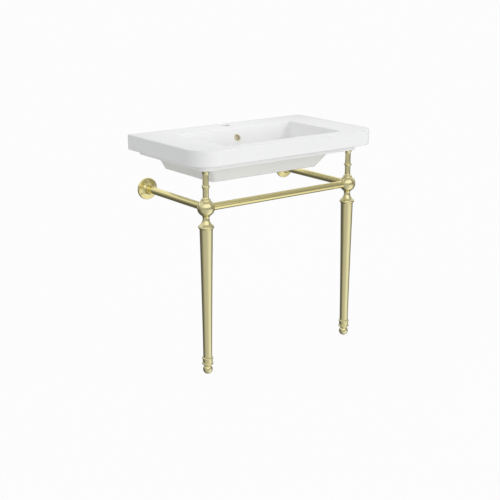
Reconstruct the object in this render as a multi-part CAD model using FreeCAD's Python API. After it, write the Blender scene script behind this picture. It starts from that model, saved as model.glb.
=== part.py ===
import FreeCAD, Part
import math
import os

# Console basin on a two-legged turned stand, in millimetres.
# +X runs to the user's right, -Y towards the user and +Z up. The origin is on the floor, in the middle
# of the width and depth. "setback" and "from the wall" are distances from the wall plane towards -Y.

# ---- basin: rim slab, underside pad, trough ----
rim_width = 800.0
rim_depth = 457.0
rim_height = 55.0
rim_front_corner = 80.0
rim_back_corner = 5.0
rim_edge_round = 4.0
pad_inset = 50.0
pad_drop = 23.5
pad_corner = 30.0
pad_edge_round = 2.0
trough_depth = 146.0
trough_end_inset_top = 118.0
trough_end_inset_bottom = 160.0
trough_front_inset_top = 111.0
trough_front_inset_bottom = 157.0
trough_corner_top = 26.0
trough_corner_bottom = 20.0
trough_edge_round = 8.0

# ---- bowl ----
side_deck = 143.0
front_deck = 47.0
back_deck = 112.0
bowl_floor_thickness = 28.0
bowl_floor_width = 70.0
bowl_floor_depth = 60.0
bowl_corner_top = 12.0
bowl_corner_floor = 28.0
bowl_edge_round = 2.5
bowl_end_straight = 0.05  # share of each wall's run that keeps its first slope
bowl_front_straight = 0.68
bowl_back_straight = 0.25
bowl_end_power = 3.0  # 2 sweeps to the floor as an ellipse, more stays upright longer
bowl_front_power = 2.0
bowl_back_power = 2.0

# ---- ceramic thickness and the hollow left by casting ----
ceramic_wall = 12.0
deck_thickness = 18.0
bowl_wall_run = 15.6  # level thickness of the sloping bowl walls
service_opening_width = 336.0
service_opening_depth = 118.0

# ---- openings in the ceramic ----
waste_setback = 229.0
waste_hole_diameter = 45.0
waste_seat_diameter = 66.0
waste_seat_depth = 3.0
tap_hole_diameter = 35.0
tap_hole_setback = 50.0
overflow_depth = 37.0
overflow_hole_diameter = 21.0
duct_width = 28.0
duct_run = 16.0
duct_wall = 11.0
duct_roof = 4.0
duct_height = 12.0
wall_bolt_spacing = 280.0
wall_bolt_hole = 16.0
wall_bolt_drop = 70.0

# ---- overflow ring ----
ring_diameter = 28.0
ring_bore = 17.0
ring_button_diameter = 9.0
ring_button_round = 1.2
ring_button_sunk = 0.8
ring_rib_width = 2.0
ring_rib_depth = 1.6
ring_thickness = 2.6
ring_round = 1.2
ring_seat_depth = 0.6
sleeve_length = 12.0
ring_gasket_thickness = 0.6
ring_gasket_inset = 1.0

# ---- levelling feet ----
foot_ball_diameter = 34.4
foot_flat_diameter = 15.0
foot_neck_diameter = 24.0
foot_neck_height = 1.6
foot_stud_diameter = 10.0
foot_stud_length = 22.0
foot_stud_room = 2.0
foot_gap = 0.3
glide_diameter = 12.0
glide_thickness = 3.0
glide_proud = 1.0

# ---- legs, from the floor up ----
leg_side_inset = 76.5
leg_front_inset = 77.5
sole_neck_height = 4.0
sole_neck_margin = 0.4
sole_flare_height = 2.5
sole_bead_diameter = 40.0
sole_bead_height = 8.0
barrel_diameter = 34.0
barrel_bulge = 0.4
barrel_height = 11.7
ankle_bead_diameter = 39.6
ankle_bead_height = 8.0
ankle_height = 4.0
ankle_hollow = 0.2
ankle_flare = 0.7
leg_length = 462.0
leg_bottom_diameter = 31.5
leg_top_diameter = 45.6
leg_taper_power = 1.25  # the taper opens more quickly towards the top
leg_wall = 2.0
spigot_length = 12.0
shoulder_height = 4.0
shoulder_flare = 0.4
collar_diameter = 55.6
collar_height = 11.0
collar_undercut = 3.6
collar_shelf = 3.8
bell_height = 23.5
bell_turn = 0.37  # share of the bell's height where it is fullest
bell_fullness = 4.7
neck_diameter = 23.6
throat_height = 13.0
throat_turn = 0.5
throat_flare = 0.5

# ---- ball joints ----
ball_diameter = 61.0
ball_bottom_flat = 35.0
ball_top_flat = 40.0
rail_socket_offset = 20.0
stud_hole_offset = 9.0
rod_hole_depth = 15.0

# ---- upper posts ----
post_diameter = 21.0
post_wall = 1.5
post_base_height = 13.5
post_ring_diameter = 33.4
post_ring_low = 4.0
post_ring_height = 3.6
post_ring_round = 0.5
post_cove = 1.4
lower_post_length = 30.0
post_bead_height = 14.0
post_bead_diameter = 28.6
post_bead_step = 0.8
post_bead_shoulder = 2.1
upper_post_length = 34.0
cup_height = 14.0
cup_diameter = 30.0
cup_lip_height = 3.0
cup_lip_round = 0.5
cup_flare = 1.0
cup_roof = 5.0
post_spigot_length = 4.0
rubber_diameter = 27.0
rubber_thickness = 1.5

# ---- rails and wall flanges ----
rail_diameter = 26.0
rail_wall = 1.5
plug_length = 18.0
rail_stud_diameter = 8.0
flange_diameter = 80.0
flange_edge = 8.0
flange_round = 3.2
flange_dome_width = 9.0
flange_dome_rise = 1.6
flange_throat_rise = 9.4
flange_throat_hollow = 1.3
flange_web = 5.0
flange_collar_diameter = 31.0
flange_length = 28.0
flange_screw_circle = 63.0
flange_screw_hole = 5.0
flange_screw_head = 9.6
flange_screw_count = 3
grub_screw_diameter = 5.0
grub_screw_setback = 21.0
grub_screw_sunk = 0.2
edge_break = 1.2

# ---- rods and fits ----
post_rod_diameter = 10.0
leg_rod_diameter = 8.0
rod_web = 5.0
rod_end_room = 1.0
thread_clearance = 0.05
slip_clearance = 0.05

# ---- places worked out from the sizes above ----
wall_y = rim_depth / 2
leg_x = rim_width / 2 - leg_side_inset
leg_y = leg_front_inset - rim_depth / 2
foot_ball_radius = foot_ball_diameter / 2
foot_ball_z = glide_proud + math.sqrt(foot_ball_radius ** 2 - (foot_flat_diameter / 2) ** 2)
foot_neck_z = foot_ball_z + math.sqrt(foot_ball_radius ** 2 - (foot_neck_diameter / 2) ** 2)
foot_top_z = foot_neck_z + foot_neck_height
foot_stud_top = foot_top_z + foot_stud_length
sole_z = foot_top_z + foot_gap
sole_bead_z = sole_z + sole_neck_height
barrel_z = sole_bead_z + sole_bead_height
ankle_bead_z = barrel_z + barrel_height
ankle_z = ankle_bead_z + ankle_bead_height
leg_bottom_z = ankle_z + ankle_height
leg_rod_z = foot_stud_top + foot_stud_room + rod_web
leg_top_z = leg_bottom_z + leg_length
collar_z = leg_top_z + shoulder_height
bell_z = collar_z + collar_height
throat_z = bell_z + bell_height
ball_bottom_z = throat_z + throat_height
ball_radius = ball_diameter / 2
ball_z = ball_bottom_z + math.sqrt(ball_radius ** 2 - (ball_bottom_flat / 2) ** 2)
ball_top_z = ball_z + math.sqrt(ball_radius ** 2 - (ball_top_flat / 2) ** 2)
lower_post_z = ball_top_z + post_base_height
post_bead_z = lower_post_z + lower_post_length
upper_post_z = post_bead_z + post_bead_height
cup_z = upper_post_z + upper_post_length
rubber_z = cup_z + cup_height
post_rod_top = rubber_z - cup_roof
pad_z = rubber_z + rubber_thickness
rim_z = pad_z + pad_drop
top_z = rim_z + rim_height
trough_z = top_z - trough_depth
post_radius = post_diameter / 2
post_bore_radius = post_radius - post_wall
rail_radius = rail_diameter / 2
rail_bore_radius = rail_radius - rail_wall
bowl_depth = trough_depth - bowl_floor_thickness
bowl_half_width = rim_width / 2 - side_deck
bowl_front = rim_depth - front_deck
bowl_end_run = bowl_half_width - bowl_floor_width / 2
bowl_back_run = waste_setback - bowl_floor_depth / 2 - back_deck
bowl_front_run = bowl_front - waste_setback - bowl_floor_depth / 2


def vec(x, y, z):
    return FreeCAD.Vector(x, y, z)


def save(name, shape):
    shape.exportStep("parts/" + name + ".step")
    print(name, len(shape.Solids), "solid", round(shape.Volume / 1000.0, 2), "cm3")


def cylinder(radius, start, end):
    axis = end.sub(start)
    return Part.makeCylinder(radius, axis.Length, start, axis)


def turned(steps):
    """A solid turned about the Z axis; steps are (radius, z) lines or (mid, end) arcs."""
    first = steps[0]
    here = vec(first[0], 0, first[1])
    start = here
    edges = []
    for step in steps[1:]:
        if isinstance(step[0], tuple):
            mid = vec(step[0][0], 0, step[0][1])
            end = vec(step[1][0], 0, step[1][1])
            edges.append(Part.Arc(here, mid, end).toShape())
        else:
            end = vec(step[0], 0, step[1])
            edges.append(Part.LineSegment(here, end).toShape())
        here = end
    axis_top = vec(0, 0, here.z)
    axis_bottom = vec(0, 0, start.z)
    edges.append(Part.LineSegment(here, axis_top).toShape())
    edges.append(Part.LineSegment(axis_top, axis_bottom).toShape())
    edges.append(Part.LineSegment(axis_bottom, start).toShape())
    face = Part.Face(Part.Wire(edges))
    return face.revolve(vec(0, 0, 0), vec(0, 0, 1), 360)


def quarter_round(radius, top, size):
    """The arc that rounds off a turned edge of this radius and top height."""
    turn = size * (1 - math.sqrt(0.5))
    return ((radius - turn, top - turn), (radius - size, top))


def bore(shape, radius, low, high):
    return shape.cut(cylinder(radius, vec(0, 0, low), vec(0, 0, high)))


def at_leg(shape, side):
    placed = shape.copy()
    placed.translate(vec(side * leg_x, leg_y, 0))
    return placed


def plan_outline(half_width, near, far, corner, z, back_corner=0.0):
    """A rectangle at height z with round corners; near and far are distances from the wall."""
    y_back = wall_y - near
    y_front = wall_y - far
    corners = [
        (half_width, y_back, back_corner), (half_width, y_front, corner),
        (-half_width, y_front, corner), (-half_width, y_back, back_corner),
    ]
    turn = 1 - math.sqrt(0.5)
    points = []
    for x, y, radius in corners:
        in_x = -math.copysign(radius, x)
        in_y = -radius if y == y_back else radius
        along_x = vec(x + in_x, y, z)
        along_y = vec(x, y + in_y, z)
        middle = vec(x + in_x * turn, y + in_y * turn, z)
        before, after = (along_x, along_y) if x * in_y < 0 else (along_y, along_x)
        points.append((before, middle, after, radius))
    edges = []
    for i, (before, middle, after, radius) in enumerate(points):
        if radius > 0:
            edges.append(Part.Arc(before, middle, after).toShape())
        edges.append(Part.LineSegment(after, points[(i + 1) % 4][0]).toShape())
    return Part.Wire(edges)


def slab(outline, height):
    return Part.Face(outline).extrude(vec(0, 0, height))


def side_prism(points, half_width):
    """A prism across the width; points are (distance from the wall, depth below the top)."""
    corners = [vec(-half_width, wall_y - d, top_z - h) for d, h in points]
    face = Part.Face(Part.makePolygon(corners + [corners[0]]))
    return face.extrude(vec(2 * half_width, 0, 0))


def level_edges(shape, z, test):
    found = []
    for edge in shape.Edges:
        box = edge.BoundBox
        if abs(box.ZMin - z) < 0.02 and abs(box.ZMax - z) < 0.02 and test(box):
            found.append(edge)
    return found


# ---- basin ----
def wall_inset(share, run, straight, power):
    """How far a bowl wall has come in at a share of the bowl's depth: straight, then swept."""
    sweep = 1 - (1 - share ** power) ** (1 / power)
    return run * (straight * share + (1 - straight) * sweep)


def bowl_section(turn_deg, grow, deeper):
    """One level of the bowl; grow and deeper widen it for the walls around it."""
    share = math.sin(math.radians(turn_deg))
    floor_half = min(bowl_floor_width, bowl_floor_depth) / 2
    floor_corner = min(bowl_corner_floor, floor_half - edge_break)
    corner = bowl_corner_top + (floor_corner - bowl_corner_top) * share ** 2 + grow
    return plan_outline(
        bowl_half_width - wall_inset(share, bowl_end_run, bowl_end_straight, bowl_end_power) + grow,
        back_deck + wall_inset(share, bowl_back_run, bowl_back_straight, bowl_back_power) - grow,
        bowl_front - wall_inset(share, bowl_front_run, bowl_front_straight, bowl_front_power) + grow,
        corner,
        top_z - (bowl_depth + deeper) * share,
        corner,
    )


def make_bowl(grow, deeper):
    sections = [bowl_section(turn, grow, deeper) for turn in (-4, 0, 15, 30, 45, 60, 75, 90)]
    return Part.makeLoft(sections, True, False)


def trough_block(wall):
    """The tapered trough below the pad, set in by a wall thickness all round and below."""
    rise = trough_depth - rim_height - pad_drop
    end_lean = (trough_end_inset_bottom - trough_end_inset_top) / rise
    front_lean = (trough_front_inset_bottom - trough_front_inset_top) / rise
    end_shift = wall * (math.sqrt(1 + end_lean ** 2) - end_lean)
    front_shift = wall * (math.sqrt(1 + front_lean ** 2) - front_lean)
    levels = (
        (trough_end_inset_top, trough_front_inset_top, trough_corner_top, pad_z),
        (trough_end_inset_bottom, trough_front_inset_bottom, trough_corner_bottom, trough_z),
    )
    outlines = []
    for end_inset, front_inset, corner, z in levels:
        half_width = rim_width / 2 - end_inset - end_shift
        far = rim_depth - front_inset - front_shift
        outlines.append(plan_outline(half_width, wall, far, corner - front_shift, z + wall))
    return Part.makeLoft(outlines, True, True)


def rim_block(wall, roof, back_corner):
    outline = plan_outline(rim_width / 2 - wall, wall, rim_depth - wall, rim_front_corner - wall,
                           rim_z + wall, back_corner)
    return slab(outline, rim_height - wall - roof)


def pad_block(wall):
    half_width = rim_width / 2 - pad_inset - wall
    far = rim_depth - pad_inset - wall
    return slab(plan_outline(half_width, wall, far, pad_corner - wall, pad_z + wall), pad_drop)


def soften(shape, radius, z):
    """Rounds a block's level edges at height z; a sharp corner at the wall ends the rounding."""
    return shape.makeFillet(radius, level_edges(shape, z, lambda box: box.YMin < wall_y - edge_break))


def on_bowl_edge(box):
    return box.YMin > wall_y - bowl_front - 1 and box.YMax < wall_y - back_deck + 1


def make_basin():
    rim = soften(rim_block(0, 0, rim_back_corner), rim_edge_round, top_z)
    rim = soften(rim, rim_edge_round, rim_z)
    pad = soften(pad_block(0), pad_edge_round, pad_z)
    trough = soften(trough_block(0), trough_edge_round, trough_z)
    body = rim.fuse(pad).fuse(trough).removeSplitter()
    body = body.cut(make_bowl(0, 0))
    body = body.makeFillet(bowl_edge_round, level_edges(body, top_z, on_bowl_edge))
    body = body.cut(cast_hollow())
    body = body.cut(overflow_duct())

    opening_y = wall_y - ceramic_wall - service_opening_depth
    opening = Part.makeBox(service_opening_width, service_opening_depth, ceramic_wall + 2,
                           vec(-service_opening_width / 2, opening_y, trough_z - 1))
    waste_y = wall_y - waste_setback
    floor_z = top_z - bowl_depth
    waste = cylinder(waste_hole_diameter / 2, vec(0, waste_y, trough_z - 1), vec(0, waste_y, floor_z + 1))
    seat = cylinder(waste_seat_diameter / 2, vec(0, waste_y, floor_z - waste_seat_depth),
                    vec(0, waste_y, floor_z + 1))
    tap_y = wall_y - tap_hole_setback
    tap = cylinder(tap_hole_diameter / 2, vec(0, tap_y, top_z - deck_thickness - 1), vec(0, tap_y, top_z + 1))
    body = body.cut(opening).cut(waste).cut(seat).cut(tap)
    for side in (-1, 1):
        bolt_x = side * wall_bolt_spacing / 2
        bolt_z = top_z - wall_bolt_drop
        body = body.cut(cylinder(wall_bolt_hole / 2, vec(bolt_x, wall_y - ceramic_wall - 1, bolt_z),
                                 vec(bolt_x, wall_y + 1, bolt_z)))
    hole = overflow_hole_diameter / 2
    body = body.cut(at_overflow(cylinder(hole, vec(0, 0, -bowl_wall_run - 1), vec(0, 0, ring_thickness))))
    recess = ring_diameter / 2 + slip_clearance
    return body.cut(at_overflow(cylinder(recess, vec(0, 0, -ring_seat_depth), vec(0, 0, ring_thickness))))


def cast_hollow():
    """The room inside the ceramic: the outside set in by a wall, less bowl, duct and waste boss."""
    hollow = rim_block(ceramic_wall, deck_thickness, 0).fuse(pad_block(ceramic_wall))
    hollow = hollow.fuse(trough_block(ceramic_wall))
    hollow = hollow.cut(make_bowl(bowl_wall_run, bowl_floor_thickness - ceramic_wall + 1))
    return hollow.cut(duct_prism(0, bowl_wall_run + duct_run + duct_wall, duct_width / 2 + duct_wall))


def back_wall(depth):
    """Distance of the bowl's back wall from the wall plane at a depth below the top."""
    share = depth / bowl_depth
    return back_deck + wall_inset(share, bowl_back_run, bowl_back_straight, bowl_back_power)


def duct_prism(near, far, half_width):
    """A leaning block behind the bowl's back wall, from near to far behind its surface."""
    top = deck_thickness
    lean = (back_wall(overflow_depth * 2) - back_wall(top)) / (overflow_depth * 2 - top)
    front_top = back_wall(top)
    front_bottom = front_top + lean * (trough_depth - top)
    return side_prism([
        (front_top - far, top), (front_top - near, top),
        (front_bottom - near, trough_depth), (front_bottom - far, trough_depth),
    ], half_width)


def overflow_duct():
    """The overflow's way down behind the bowl and under its floor to the waste."""
    floor_top = bowl_depth + waste_seat_depth + duct_roof
    floor_bottom = floor_top + duct_height
    duct_top = overflow_depth - overflow_hole_diameter / 2
    down = duct_prism(bowl_wall_run, bowl_wall_run + duct_run, duct_width / 2)
    room = side_prism([(0, duct_top), (rim_depth, duct_top), (rim_depth, floor_bottom), (0, floor_bottom)],
                      duct_width)
    along = side_prism([(back_wall(bowl_depth / 2), floor_top), (waste_setback, floor_top),
                        (waste_setback, floor_bottom), (back_wall(bowl_depth / 2), floor_bottom)],
                       duct_width / 2)
    return down.common(room).fuse(along)


def at_overflow(shape):
    """Stands a shape turned about Z square to the bowl's back wall at the overflow."""
    step = 1.0
    lean = (back_wall(overflow_depth + step) - back_wall(overflow_depth - step)) / (2 * step)
    placed = shape.copy()
    placed.rotate(vec(0, 0, 0), vec(1, 0, 0), 90 - math.degrees(math.atan(lean)))
    placed.translate(vec(0, wall_y - back_wall(overflow_depth), top_z - overflow_depth))
    return placed


def make_overflow_ring():
    """A ring round a domed button on crossed ribs; the water runs in between them."""
    outer = ring_diameter / 2 - slip_clearance
    sleeve = overflow_hole_diameter / 2 - slip_clearance
    seat = ring_gasket_thickness - ring_seat_depth
    ring = turned([
        (sleeve, seat - sleeve_length),
        (sleeve, seat),
        (outer, seat),
        (outer, seat + ring_thickness - ring_round),
        quarter_round(outer, seat + ring_thickness, ring_round),
        (ring_bore / 2, seat + ring_thickness),
    ])
    ring = bore(ring, ring_bore / 2, seat - sleeve_length - 1, seat + ring_thickness + 1)
    face = seat + ring_thickness - ring_button_sunk
    button = ring_button_diameter / 2
    ring = ring.fuse(turned([
        (button, face - ring_rib_depth),
        (button, face - ring_button_round),
        quarter_round(button, face, ring_button_round),
    ]))
    reach = ring_bore / 2 + edge_break / 2
    for angle in (45, 135):
        rib = Part.makeBox(2 * reach, ring_rib_width, ring_rib_depth / 2,
                           vec(-reach, -ring_rib_width / 2, face - ring_rib_depth))
        rib.rotate(vec(0, 0, 0), vec(0, 0, 1), angle)
        ring = ring.fuse(rib)
    return at_overflow(ring.removeSplitter())


def make_ring_gasket():
    outer = ring_diameter / 2 - ring_gasket_inset
    gasket = cylinder(outer, vec(0, 0, -ring_seat_depth), vec(0, 0, ring_gasket_thickness - ring_seat_depth))
    return at_overflow(bore(gasket, overflow_hole_diameter / 2, -ring_seat_depth - 1, ring_gasket_thickness))


# ---- legs, from the floor up ----
def make_glide():
    return cylinder(glide_diameter / 2, vec(0, 0, 0), vec(0, 0, glide_thickness))


def make_levelling_foot():
    flat = foot_flat_diameter / 2
    neck = foot_neck_diameter / 2
    body = turned([
        (flat, glide_proud),
        ((foot_ball_radius, foot_ball_z), (neck, foot_neck_z)),
        (neck, foot_top_z),
    ])
    stud = cylinder(foot_stud_diameter / 2, vec(0, 0, foot_neck_z), vec(0, 0, foot_stud_top))
    body = body.fuse(stud).removeSplitter()
    return bore(body, glide_diameter / 2 + slip_clearance, 0, glide_thickness)


def bead(radius, low, height, edge_radius):
    """The arc of a turned bead that swells to radius and comes back to edge_radius."""
    return ((radius, low + height / 2), (edge_radius, low + height))


def leg_radius(z):
    share = (z - leg_bottom_z) / leg_length
    return (leg_bottom_diameter + (leg_top_diameter - leg_bottom_diameter) * share ** leg_taper_power) / 2


def make_leg_foot():
    neck = foot_neck_diameter / 2 + sole_neck_margin
    barrel = barrel_diameter / 2
    ankle = leg_bottom_diameter / 2
    body = turned([
        (neck, sole_z),
        (neck, sole_bead_z - sole_flare_height),
        (barrel, sole_bead_z),
        bead(sole_bead_diameter / 2, sole_bead_z, sole_bead_height, barrel),
        bead(barrel + barrel_bulge, barrel_z, barrel_height, barrel),
        bead(ankle_bead_diameter / 2, ankle_bead_z, ankle_bead_height, ankle + ankle_flare),
        bead(ankle + ankle_hollow, ankle_z, ankle_height, ankle),
    ])
    spigot_top = leg_bottom_z + spigot_length
    spigot_radius = leg_radius(leg_bottom_z) - leg_wall - slip_clearance
    body = body.fuse(cylinder(spigot_radius, vec(0, 0, ankle_z), vec(0, 0, spigot_top)))
    body = body.removeSplitter()
    body = bore(body, foot_stud_diameter / 2 + thread_clearance, sole_z - 1, foot_stud_top + foot_stud_room)
    return bore(body, leg_rod_diameter / 2 + thread_clearance, leg_rod_z - rod_end_room, spigot_top + 1)


def leg_wall_line(inset):
    """The leg's long taper seen from the side, as one smooth line set in from the surface."""
    levels = 6
    points = []
    for i in range(levels + 1):
        z = leg_bottom_z + leg_length * i / levels
        points.append(vec(leg_radius(z) - inset, 0, z))
    curve = Part.BSplineCurve()
    curve.interpolate(points)
    return curve.toShape()


def make_leg_tube():
    outside = leg_wall_line(0)
    inside = leg_wall_line(leg_wall)
    bottom = Part.LineSegment(outside.Vertexes[0].Point, inside.Vertexes[0].Point).toShape()
    top = Part.LineSegment(outside.Vertexes[-1].Point, inside.Vertexes[-1].Point).toShape()
    section = Part.Face(Part.Wire([outside, top, inside, bottom]))
    return section.revolve(vec(0, 0, 0), vec(0, 0, 1), 360)


def make_leg_cap():
    shoulder = leg_top_diameter / 2
    neck = neck_diameter / 2
    collar = collar_diameter / 2
    body = turned([
        (shoulder, leg_top_z),
        (shoulder + shoulder_flare, collar_z - edge_break),
        (collar - collar_undercut, collar_z),
        bead(collar, collar_z, collar_height, collar - collar_shelf),
        ((neck + bell_fullness, bell_z + bell_height * bell_turn), (neck, throat_z)),
        ((neck + throat_flare, throat_z + throat_height * throat_turn), (ball_bottom_flat / 2, ball_bottom_z)),
    ])
    spigot_bottom = leg_top_z - spigot_length
    spigot_radius = leg_radius(spigot_bottom) - leg_wall - slip_clearance
    body = body.fuse(cylinder(spigot_radius, vec(0, 0, spigot_bottom), vec(0, 0, collar_z)))
    body = body.removeSplitter()
    return bore(body, leg_rod_diameter / 2 + thread_clearance, spigot_bottom - 1, ball_bottom_z + 1)


def make_leg_rod():
    return cylinder(leg_rod_diameter / 2, vec(0, 0, leg_rod_z), vec(0, 0, ball_bottom_z + rod_hole_depth))


# ---- ball joints ----
def make_ball(side):
    """The ball that carries the leg, the post, the front rail and one side rail."""
    body = turned([
        (ball_bottom_flat / 2, ball_bottom_z),
        ((ball_radius, ball_z), (ball_top_flat / 2, ball_top_z)),
    ])
    hole_depth = rod_hole_depth + rod_end_room
    body = bore(body, leg_rod_diameter / 2 + thread_clearance, ball_bottom_z - 1, ball_bottom_z + hole_depth)
    body = bore(body, post_rod_diameter / 2 + thread_clearance, ball_top_z - hole_depth, ball_top_z + 1)
    centre = vec(0, 0, ball_z)
    for towards in (vec(-side, 0, 0), vec(0, 1, 0)):
        outside = centre.add(towards * (ball_radius + 1))
        socket = cylinder(rail_radius + slip_clearance, centre.add(towards * rail_socket_offset), outside)
        stud_hole = cylinder(rail_stud_diameter / 2 + thread_clearance,
                             centre.add(towards * stud_hole_offset), outside)
        body = body.cut(socket).cut(stud_hole)
    return body


# ---- posts between the balls and the basin ----
def post_tube(low, length):
    outer = cylinder(post_radius, vec(0, 0, low), vec(0, 0, low + length))
    return bore(outer, post_bore_radius, low - 1, low + length + 1)


def with_post_spigots(body, low, high, bore_top):
    """Adds the spigots that centre the post tubes, and the hole for the threaded rod."""
    radius = post_bore_radius - slip_clearance
    body = body.fuse(cylinder(radius, vec(0, 0, low), vec(0, 0, high))).removeSplitter()
    return bore(body, post_rod_diameter / 2 + thread_clearance, low - 1, bore_top)


def make_post_base():
    ring = post_ring_diameter / 2
    ring_low = ball_top_z + post_ring_low
    ring_high = ring_low + post_ring_height
    body = turned([
        (ball_top_flat / 2, ball_top_z),
        ((ring + post_ring_round, ball_top_z + post_ring_low / 2), (ring - post_ring_round, ring_low)),
        bead(ring, ring_low, post_ring_height, ring - post_ring_round),
        ((post_radius + post_cove, (ring_high + lower_post_z) / 2), (post_radius, lower_post_z)),
    ])
    top = lower_post_z + post_spigot_length
    return with_post_spigots(body, ball_top_z, top, top + 1)


def make_post_bead():
    step = post_radius + post_bead_step
    body = turned([
        (post_radius, post_bead_z),
        (step, post_bead_z + edge_break),
        (step, post_bead_z + post_bead_shoulder),
        bead(post_bead_diameter / 2, post_bead_z + post_bead_shoulder,
             post_bead_height - 2 * post_bead_shoulder, step),
        (step, upper_post_z - edge_break),
        (post_radius, upper_post_z),
    ])
    top = upper_post_z + post_spigot_length
    return with_post_spigots(body, post_bead_z - post_spigot_length, top, top + 1)


def make_top_cup():
    lip = cup_diameter / 2
    lip_z = rubber_z - cup_lip_height
    body = turned([
        (post_radius, cup_z),
        ((post_radius + cup_flare, (cup_z + lip_z) / 2), (lip - cup_lip_round, lip_z)),
        (lip, lip_z + cup_lip_round),
        (lip, rubber_z - cup_lip_round),
        (lip - cup_lip_round, rubber_z),
    ])
    return with_post_spigots(body, cup_z - post_spigot_length, lip_z, post_rod_top + rod_end_room)


def make_post_rod():
    return cylinder(post_rod_diameter / 2, vec(0, 0, ball_top_z - rod_hole_depth), vec(0, 0, post_rod_top))


def make_rubber():
    return cylinder(rubber_diameter / 2, vec(0, 0, rubber_z), vec(0, 0, pad_z))


# ---- rails ----
def tube_between(start, end):
    axis = end.sub(start).normalize()
    inner = cylinder(rail_bore_radius, start.sub(axis), end.add(axis))
    return cylinder(rail_radius, start, end).cut(inner)


def ball_centre(side):
    return vec(side * leg_x, leg_y, ball_z)


def rail_ends():
    """Where the front rail and the side rails start at the two balls, with their directions."""
    ends = []
    for side in (-1, 1):
        for towards in (vec(-side, 0, 0), vec(0, 1, 0)):
            ends.append((ball_centre(side).add(towards * rail_socket_offset), towards))
    return ends


def make_rail_plugs():
    plugs = []
    for place, towards in rail_ends():
        inner_end = place.add(towards * plug_length)
        plug = cylinder(rail_bore_radius - slip_clearance, place, inner_end)
        hole = cylinder(rail_stud_diameter / 2 + thread_clearance, place.sub(towards), inner_end.add(towards))
        plugs.append(plug.cut(hole))
    return Part.makeCompound(plugs)


def make_rail_studs():
    studs = []
    for place, towards in rail_ends():
        reach = rail_socket_offset - stud_hole_offset - rod_end_room
        studs.append(cylinder(rail_stud_diameter / 2, place.sub(towards * reach),
                              place.add(towards * (plug_length - rod_end_room))))
    return Part.makeCompound(studs)


def make_front_rail():
    half_length = leg_x - rail_socket_offset
    return tube_between(vec(-half_length, leg_y, ball_z), vec(half_length, leg_y, ball_z))


def make_side_rail(side):
    start = ball_centre(side).add(vec(0, rail_socket_offset, 0))
    return tube_between(start, vec(side * leg_x, wall_y - flange_web, ball_z))


# ---- wall flanges ----
def make_wall_flange(side):
    """A round plate that swells into the collar holding the side rail's wall end."""
    plate = flange_diameter / 2
    collar = flange_collar_diameter / 2
    dome = collar + flange_dome_width
    dome_z = flange_edge + flange_dome_rise
    throat_z = dome_z + flange_throat_rise
    body = turned([
        (plate, 0),
        (plate, flange_edge - flange_round),
        quarter_round(plate, flange_edge, flange_round),
        (dome, dome_z),
        (((dome + collar) / 2 - flange_throat_hollow, (dome_z + throat_z) / 2 - flange_throat_hollow),
         (collar, throat_z)),
        (collar, flange_length - edge_break),
        (collar - edge_break, flange_length),
    ])
    body = bore(body, rail_radius + slip_clearance, flange_web, flange_length + 1)
    sink_depth = (flange_screw_head - flange_screw_hole) / 2
    for i in range(flange_screw_count):
        angle = 2 * math.pi * i / flange_screw_count
        x = flange_screw_circle / 2 * math.sin(angle)
        y = flange_screw_circle / 2 * math.cos(angle)
        hole = cylinder(flange_screw_hole / 2, vec(x, y, -1), vec(x, y, flange_edge))
        sink = Part.makeCone(flange_screw_hole / 2, flange_screw_head / 2, sink_depth,
                             vec(x, y, flange_edge - sink_depth))
        head = cylinder(flange_screw_head / 2, vec(x, y, flange_edge), vec(x, y, dome_z + 1))
        body = body.cut(hole).cut(sink).cut(head)
    body.rotate(vec(0, 0, 0), vec(1, 0, 0), 90)
    body.translate(vec(side * leg_x, wall_y, ball_z))
    outside = vec(side * leg_x, wall_y - grub_screw_setback, ball_z - collar - 1)
    middle = vec(side * leg_x, wall_y - grub_screw_setback, ball_z)
    return body.cut(cylinder(grub_screw_diameter / 2 + thread_clearance, outside, middle))


def make_grub_screws():
    screws = []
    for side in (-1, 1):
        x = side * leg_x
        y = wall_y - grub_screw_setback
        tip = vec(x, y, ball_z - rail_radius)
        head = vec(x, y, ball_z - flange_collar_diameter / 2 + grub_screw_sunk)
        screws.append(cylinder(grub_screw_diameter / 2, head, tip))
    return Part.makeCompound(screws)


def main():
    os.makedirs("parts", exist_ok=True)
    save("basin", make_basin())
    save("overflow_ring", make_overflow_ring())
    save("overflow_gasket", make_ring_gasket())
    stack = {
        "foot_glide": make_glide(),
        "levelling_foot": make_levelling_foot(),
        "leg_foot": make_leg_foot(),
        "leg_tube": make_leg_tube(),
        "leg_cap": make_leg_cap(),
        "leg_rod": make_leg_rod(),
        "post_base": make_post_base(),
        "lower_post": post_tube(lower_post_z, lower_post_length),
        "post_bead": make_post_bead(),
        "upper_post": post_tube(upper_post_z, upper_post_length),
        "top_cup": make_top_cup(),
        "post_rod": make_post_rod(),
        "cup_rubber": make_rubber(),
    }
    for side, hand in ((-1, "left"), (1, "right")):
        for name, shape in stack.items():
            save(name + "_" + hand, at_leg(shape, side))
        save("ball_joint_" + hand, at_leg(make_ball(side), side))
        save("side_rail_" + hand, make_side_rail(side))
        save("wall_flange_" + hand, make_wall_flange(side))
    save("front_rail", make_front_rail())
    save("rail_plugs", make_rail_plugs())
    save("rail_studs", make_rail_studs())
    save("grub_screws", make_grub_screws())
    print("overall height", round(top_z, 2), "rail height", round(ball_z, 2))


main()
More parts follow.
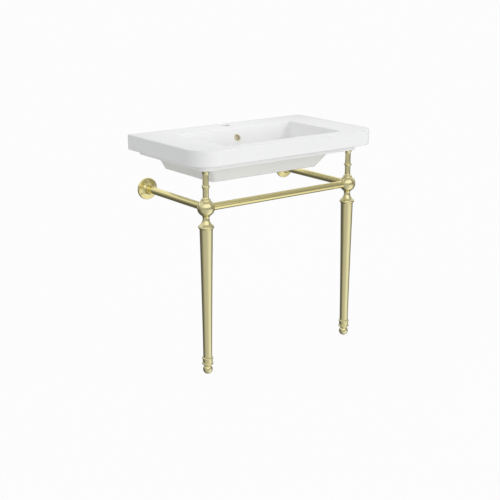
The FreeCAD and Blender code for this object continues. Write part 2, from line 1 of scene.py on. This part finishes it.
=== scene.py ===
import math
import bpy
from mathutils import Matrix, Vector


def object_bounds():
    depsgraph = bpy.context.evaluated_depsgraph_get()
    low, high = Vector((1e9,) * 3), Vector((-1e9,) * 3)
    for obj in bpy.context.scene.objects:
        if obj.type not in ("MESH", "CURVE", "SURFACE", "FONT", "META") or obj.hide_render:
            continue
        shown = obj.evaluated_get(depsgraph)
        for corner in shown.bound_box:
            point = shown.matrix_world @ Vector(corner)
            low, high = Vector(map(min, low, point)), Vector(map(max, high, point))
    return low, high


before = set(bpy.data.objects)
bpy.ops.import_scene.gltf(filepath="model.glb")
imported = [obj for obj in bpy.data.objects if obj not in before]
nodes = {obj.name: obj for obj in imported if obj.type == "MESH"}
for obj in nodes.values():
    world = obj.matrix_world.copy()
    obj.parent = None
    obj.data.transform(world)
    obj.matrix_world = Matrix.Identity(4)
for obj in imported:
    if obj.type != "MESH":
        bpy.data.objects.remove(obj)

cadLow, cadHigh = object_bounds()
print("frame loaded:", len(nodes), "pieces")


class Value:
    # a shader socket that can be used in sums
    def __init__(self, shader, socket):
        self.shader = shader
        self.socket = socket

    def sum(self, operation, first, second):
        return self.shader.node("ShaderNodeMath", {"operation": operation}, {0: first, 1: second})

    def __add__(self, other):
        return self.sum("ADD", self, other)

    def __radd__(self, other):
        return self.sum("ADD", other, self)

    def __mul__(self, other):
        return self.sum("MULTIPLY", self, other)

    def __rmul__(self, other):
        return self.sum("MULTIPLY", other, self)


class Shader:
    def __init__(self, name, tree=None):
        if tree is None:
            self.material = bpy.data.materials.new(name)
            self.material.use_nodes = True
            tree = self.material.node_tree
        self.tree = tree
        tree.nodes.clear()

    def node(self, kind, settings=None, sockets=None, output=0):
        made = self.tree.nodes.new(kind)
        for key, setting in (settings or {}).items():
            if key == "stops":
                ramp = made.color_ramp
                for i, (place, grey) in enumerate(setting):
                    stop = ramp.elements[i] if i < len(ramp.elements) else ramp.elements.new(place)
                    stop.position = place
                    stop.color = (grey, grey, grey, 1)
            else:
                setattr(made, key, setting)
        for key, value in (sockets or {}).items():
            if isinstance(value, Value):
                self.tree.links.new(value.socket, made.inputs[key])
            else:
                made.inputs[key].default_value = value
        return Value(self, made.outputs[output]) if made.outputs else None

    def blend(self, factor, first, second):
        colours = {0: factor, 6: first, 7: second}  # the Mix node's own numbers for colours
        return self.node("ShaderNodeMix", {"data_type": "RGBA"}, colours, 2)

    def stretched(self, scale):
        place = self.node("ShaderNodeTexCoord", output="Object")
        return self.node("ShaderNodeVectorMath", {"operation": "MULTIPLY"}, {0: place, 1: scale})

    def noise(self, place, scale, detail):
        sockets = {"Vector": place, "Scale": scale, "Detail": detail}
        return self.node("ShaderNodeTexNoise", None, sockets)

    def bump(self, height, strength, distance):
        sockets = {"Strength": strength, "Distance": distance, "Height": height}
        return self.node("ShaderNodeBump", None, sockets)

    def finish(self, surface):
        self.node("ShaderNodeOutputMaterial", None, {"Surface": surface})
        return self.material


def colour(red, green, blue):
    return (red, green, blue, 1)


unstretched = (1, 1, 1)

glaze = {
    "white": colour(0.87, 0.87, 0.868),
    "warm": colour(0.85, 0.85, 0.84),
    "cloudScale": 5.0,  # all scales are per metre
    "cloudDetail": 3,
    "waveScale": 22.0,  # the slow waviness of a fired glaze
    "waveDetail": 1,
    "waveHeight": 0.00025,
    "pitScale": 900.0,
    "pitDetail": 2,
    "pitShare": 0.04,  # of the waves' height
    "bump": 0.25,
    "roughness": 0.07,
    "cloudRoughness": 0.05,
    "refraction": 1.5,
}


def glazedCeramic():
    shader = Shader("glazedCeramic")
    place = shader.stretched(unstretched)
    cloud = shader.noise(place, glaze["cloudScale"], glaze["cloudDetail"])
    wave = shader.noise(place, glaze["waveScale"], glaze["waveDetail"])
    pits = shader.noise(place, glaze["pitScale"], glaze["pitDetail"])
    height = wave + glaze["pitShare"] * pits
    surface = shader.node("ShaderNodeBsdfPrincipled", None, {
        "Base Color": shader.blend(cloud, glaze["white"], glaze["warm"]),
        "Roughness": glaze["roughness"] + glaze["cloudRoughness"] * cloud,
        "IOR": glaze["refraction"],
        "Normal": shader.bump(height, glaze["bump"], glaze["waveHeight"]),
    })
    return shader.finish(surface)


brass = {
    "pale": colour(0.855, 0.79, 0.455),
    "deep": colour(0.80, 0.73, 0.40),
    "markShare": 0.65,  # how much of the change in colour follows the brush marks
    "patchShare": 0.35,  # and how much comes in broad patches
    "markDetail": 4,
    "patchScale": 30.0,
    "patchDetail": 2,
    "bump": 0.1,
    "markDepth": 0.00001,
    "roughness": 0.11,
    "markRoughness": 0.06,
    "patchRoughness": 0.04,
}
railBrass = dict(brass, pale=colour(0.87, 0.785, 0.40), deep=colour(0.81, 0.72, 0.34))
# the overflow ring's brass is painted paler than the other brass: painted light that lifts the
# shade in the ring's deep recess
paintedLightRingBrass = dict(brass, pale=colour(0.98, 0.91, 0.68), deep=colour(0.90, 0.82, 0.57),
                 roughness=0.38)
brushMarks = {  # how often the marks change along x, y and z, per metre
    "turned": (30, 30, 2600),
    "frontRail": (12, 1500, 1500),
    "sideRail": (1500, 12, 1500),
    "ring": (900, 900, 900),
}


def brushedBrass(name, marksPerMetre, metal):
    shader = Shader(name)
    marks = shader.noise(shader.stretched(marksPerMetre), 1.0, metal["markDetail"])
    patch = shader.noise(
        shader.stretched(unstretched), metal["patchScale"], metal["patchDetail"])
    tone = metal["markShare"] * marks + metal["patchShare"] * patch
    worn = metal["markRoughness"] * marks
    surface = shader.node("ShaderNodeBsdfPrincipled", None, {
        "Base Color": shader.blend(tone, metal["pale"], metal["deep"]),
        "Metallic": 1.0,
        "Roughness": metal["roughness"] + worn + metal["patchRoughness"] * patch,
        "Normal": shader.bump(marks, metal["bump"], metal["markDepth"]),
    })
    return shader.finish(surface)


zinc = {
    "pale": colour(0.50, 0.50, 0.51),
    "deep": colour(0.38, 0.38, 0.40),
    "metallic": 1.0,
    "roughness": 0.3,
    "grainScale": 700.0,
}
rubber = {
    "pale": colour(0.03, 0.03, 0.03),
    "deep": colour(0.05, 0.05, 0.048),
    "metallic": 0.0,
    "roughness": 0.55,
    "grainScale": 900.0,
}
nylon = {
    "pale": colour(0.72, 0.72, 0.70),
    "deep": colour(0.62, 0.62, 0.60),
    "metallic": 0.0,
    "roughness": 0.45,
    "grainScale": 400.0,
}
grain = {  # the same on all three
    "detail": 5,
    "bump": 0.3,
    "depth": 0.0001,
    "roughness": 0.2,
}


def plainPart(name, stuff):
    shader = Shader(name)
    grains = shader.noise(shader.stretched(unstretched), stuff["grainScale"], grain["detail"])
    surface = shader.node("ShaderNodeBsdfPrincipled", None, {
        "Base Color": shader.blend(grains, stuff["pale"], stuff["deep"]),
        "Metallic": stuff["metallic"],
        "Roughness": stuff["roughness"] + grain["roughness"] * grains,
        "Normal": shader.bump(grains, grain["bump"], grain["depth"]),
    })
    return shader.finish(surface)


whiteGlaze = glazedCeramic()
turnedBrass = brushedBrass("turnedBrass", brushMarks["turned"], brass)
frontRailBrass = brushedBrass("frontRailBrass", brushMarks["frontRail"], railBrass)
sideRailBrass = brushedBrass("sideRailBrass", brushMarks["sideRail"], railBrass)
# the overflow ring's material carries painted light: its brass is painted paler to lift the shade
# in its recess
overflowBrassPaintedLight = brushedBrass("overflowBrassPaintedLight", brushMarks["ring"], paintedLightRingBrass)
zincSteel = plainPart("zincSteel", zinc)
blackRubber = plainPart("blackRubber", rubber)
whiteNylon = plainPart("whiteNylon", nylon)
print("materials made")

finishes = {  # by how the node's name starts, and every other node is turned brass
    "basin": whiteGlaze,
    "overflow_ring": overflowBrassPaintedLight,
    "overflow_gasket": blackRubber,
    "cup_rubber": blackRubber,
    "foot_glide": whiteNylon,
    "leg_rod": zincSteel,
    "post_rod": zincSteel,
    "rail_studs": zincSteel,
    "grub_screws": zincSteel,
    "front_rail": frontRailBrass,
    "side_rail": sideRailBrass,
    "wall_flange": sideRailBrass,
}
for name, piece in nodes.items():
    finish = turnedBrass
    for start, material in finishes.items():
        if name.startswith(start):
            finish = material
    for slot in piece.material_slots:
        slot.material = finish
print("finishes set")

studio = {
    "worldColour": colour(0.97, 0.985, 1.0),
    "worldStrength": 0.45,
    "white": colour(1, 1, 1),
    "floorColour": colour(0.9, 0.9, 0.895),
    "floorWhite": 0.94,  # the rest of the floor's look is matte and takes the shadow
    "floorSize": 60.0,
    "floorDrop": 0.0125,  # room under the feet for when they are screwed out
}


def makeWorld():
    world = bpy.data.worlds.new("studioWorld")
    bpy.context.scene.world = world
    world.use_nodes = True
    shader = Shader("studioWorld", world.node_tree)
    camera = shader.node("ShaderNodeLightPath", output="Is Camera Ray")
    glossy = shader.node("ShaderNodeLightPath", output="Is Glossy Ray")
    through = shader.node("ShaderNodeLightPath", output="Is Transmission Ray")
    seen = camera + glossy + through
    plain = shader.node("ShaderNodeBackground", None, {"Color": studio["white"], "Strength": 1.0})
    soft = shader.node("ShaderNodeBackground", None,
                       {"Color": studio["worldColour"], "Strength": studio["worldStrength"]})
    both = shader.node("ShaderNodeMixShader", None, {0: seen, 1: soft, 2: plain})
    shader.node("ShaderNodeOutputWorld", None, {"Surface": both})


def makeFloor():
    half = studio["floorSize"] / 2
    low = cadLow.z - studio["floorDrop"]
    corners = [(-half, -half, low), (half, -half, low), (half, half, low), (-half, half, low)]
    mesh = bpy.data.meshes.new("studioFloor")
    mesh.from_pydata(corners, [], [(0, 1, 2, 3)])
    floor = bpy.data.objects.new("studioFloor", mesh)
    bpy.context.scene.collection.objects.link(floor)
    shader = Shader("paleFloor")
    camera = shader.node("ShaderNodeLightPath", output="Is Camera Ray")
    glossy = shader.node("ShaderNodeLightPath", output="Is Glossy Ray")
    matte = shader.node("ShaderNodeBsdfDiffuse", None, {"Color": studio["floorColour"]})
    white = shader.node("ShaderNodeEmission", None, {"Color": studio["white"], "Strength": 1.0})
    seen = studio["floorWhite"] * (camera + glossy)
    both = shader.node("ShaderNodeMixShader", None, {0: seen, 1: matte, 2: white})
    shader.material.cycles.emission_sampling = "NONE"
    mesh.materials.append(shader.finish(both))
    floor.visible_glossy = False  # reflections look through it into the pit of the panels


# grey panels that only reflections see, as the dark cards round a metal product shot
panels = {
    "radius": 3.0,
    "pitDepth": 3.0,
    "matDepth": 1.3,
    "wallTop": 1.2,
    "ceilingHeight": 5.0,
    "steps": 48,
    # each stop is a share of a turn and the grey there
    "pit": [(0.0, 0.46), (0.12, 0.58), (0.227, 0.75), (0.30, 1.0), (0.36, 1.15), (0.42, 1.05),
            (0.445, 0.6), (0.48, 0.3), (0.60, 0.2), (0.775, 0.15), (0.87, 0.08), (0.94, 0.22),
            (1.0, 0.46)],
    "mat": [(0.0, 0.46), (0.06, 0.57), (0.12, 0.58), (0.173, 0.62), (0.227, 0.75), (0.283, 0.93),
            (0.344, 1.0), (0.40, 0.72), (0.44, 0.42), (0.50, 0.2), (0.60, 0.16), (0.70, 0.16),
            (0.775, 0.17), (0.87, 0.10), (0.94, 0.22), (1.0, 0.46)],
    "lowWall": [(0.0, 0.5), (0.147, 0.5), (0.30, 0.42), (0.36, 0.3), (0.45, 0.35), (0.567, 0.55),
                (0.69, 0.7), (0.80, 0.4), (0.86, 0.3), (0.94, 0.35), (1.0, 0.5)],
    "highWall": [(0.0, 0.75), (0.07, 1.0), (0.147, 1.2), (0.32, 1.15), (0.36, 0.38), (0.44, 0.5),
                 (0.50, 0.8), (0.567, 1.15), (0.66, 1.1), (0.767, 1.0), (0.825, 0.85),
                 (0.917, 0.75), (1.0, 0.75)],
    "ceiling": [(0.0, 0.5), (1.0, 0.5)],
}


def panelMaterial(name, stops):
    shader = Shader(name)
    place = shader.node("ShaderNodeTexCoord", output="Object")
    radial = {"gradient_type": "RADIAL"}
    around = shader.node("ShaderNodeTexGradient", radial, {"Vector": place}, 1)
    grey = shader.node("ShaderNodeValToRGB", {"stops": stops}, {"Fac": around})
    glow = shader.node("ShaderNodeEmission", None, {"Color": grey, "Strength": 1.0})
    shader.material.cycles.emission_sampling = "NONE"
    return shader.finish(glow)


def makePanels():
    low = cadLow.z
    radius, steps = panels["radius"], panels["steps"]
    heights = [low - panels["pitDepth"], low - panels["matDepth"], low,
               low + panels["wallTop"], low + panels["ceilingHeight"]]
    rings = len(heights)
    points = [(0, 0, heights[0]), (0, 0, heights[-1])]
    for i in range(steps):
        turn = 2 * math.pi * i / steps
        points += [(radius * math.cos(turn), radius * math.sin(turn), z) for z in heights]
    faces = []
    for i in range(steps):
        here = 2 + rings * i
        after = 2 + rings * ((i + 1) % steps)
        faces.append((0, here, after))
        faces += [(here + k, after + k, after + k + 1, here + k + 1) for k in range(rings - 1)]
        faces.append((1, here + rings - 1, after + rings - 1))
    mesh = bpy.data.meshes.new("studioPanels")
    mesh.from_pydata(points, [], faces)
    for side in ("pit", "mat", "lowWall", "highWall", "ceiling"):
        mesh.materials.append(panelMaterial(side + "Panel", panels[side]))
    sides = (0, 0, 1, 2, 3, 4)  # the pit's bottom has the material of its wall
    for i, face in enumerate(mesh.polygons):
        face.material_index = sides[i % len(sides)]
    ring = bpy.data.objects.new("studioPanels", mesh)
    bpy.context.scene.collection.objects.link(ring)
    ring.visible_camera = False
    ring.visible_diffuse = False
    ring.visible_transmission = False
    ring.visible_shadow = False


lamps = {  # direction towards the lamp, strength, spread in degrees
    "keyLight": ((0.62, -0.55, 0.56), 0.28, 12.0),
    "lowLight": ((0.25, -0.95, 0.1), 2.08, 50.0),
    "topLight": ((0.0, 0.0, 1.0), 0.2, 90.0),
    "upperLeftLight": ((-0.7, 0.1, 0.7), 0.15, 50.0),
    "leftLight": ((-0.9, -0.1, 0.3), 0.2, 40.0),
}
softBoxes = {  # place, aim, power, size, spread in degrees
    "sideBox": ((-1.3, 1.0, 1.3), (-0.2, 0.0, 0.75), 0.5, 0.8, 180.0),
    "overheadBox": ((-0.3, 0.12, 1.35), (0.3, -0.05, 0.74), 0.4, 0.4, 110.0),
    "bounceBox": ((-0.55, 0.0, 0.02), (-0.4, 0.0, 1.0), 1.4, 0.9, 180.0),
}


def placeLamp(name, lamp, towards):
    placed = bpy.data.objects.new(name, lamp)
    placed.rotation_mode = "QUATERNION"
    placed.rotation_quaternion = towards.to_track_quat("Z", "Y")
    placed.visible_glossy = False  # the metal reflects the panels alone
    bpy.context.scene.collection.objects.link(placed)
    return placed


makeWorld()
makeFloor()
makePanels()
for name, (towards, strength, spread) in lamps.items():
    sun = bpy.data.lights.new(name, "SUN")
    sun.energy = strength
    sun.angle = math.radians(spread)
    placeLamp(name, sun, Vector(towards))
for name, (place, aim, power, size, spread) in softBoxes.items():
    area = bpy.data.lights.new(name, "AREA")
    area.energy = power
    area.size = size
    area.spread = math.radians(spread)
    box = placeLamp(name, area, Vector(place) - Vector(aim))
    box.location = place
    box.visible_camera = False
print("studio made")

view = {
    "place": (-2.2578, -2.951, 1.4328),
    "turn": 37.16,  # degrees to the right of straight ahead
    "tilt": 16.03,  # degrees down
    "lens": 74.09,
    "sensor": 36.0,
}
camera = bpy.data.cameras.new("camera")
camera.sensor_width = view["sensor"]
camera.lens = view["lens"]
cameraObject = bpy.data.objects.new("camera", camera)
cameraObject.location = view["place"]
turned = -math.radians(view["turn"])
cameraObject.rotation_euler = (math.radians(90 - view["tilt"]), 0, turned)
bpy.context.scene.collection.objects.link(cameraObject)
bpy.context.scene.camera = cameraObject
bpy.context.scene.view_settings.view_transform = "Standard"
print("camera set")
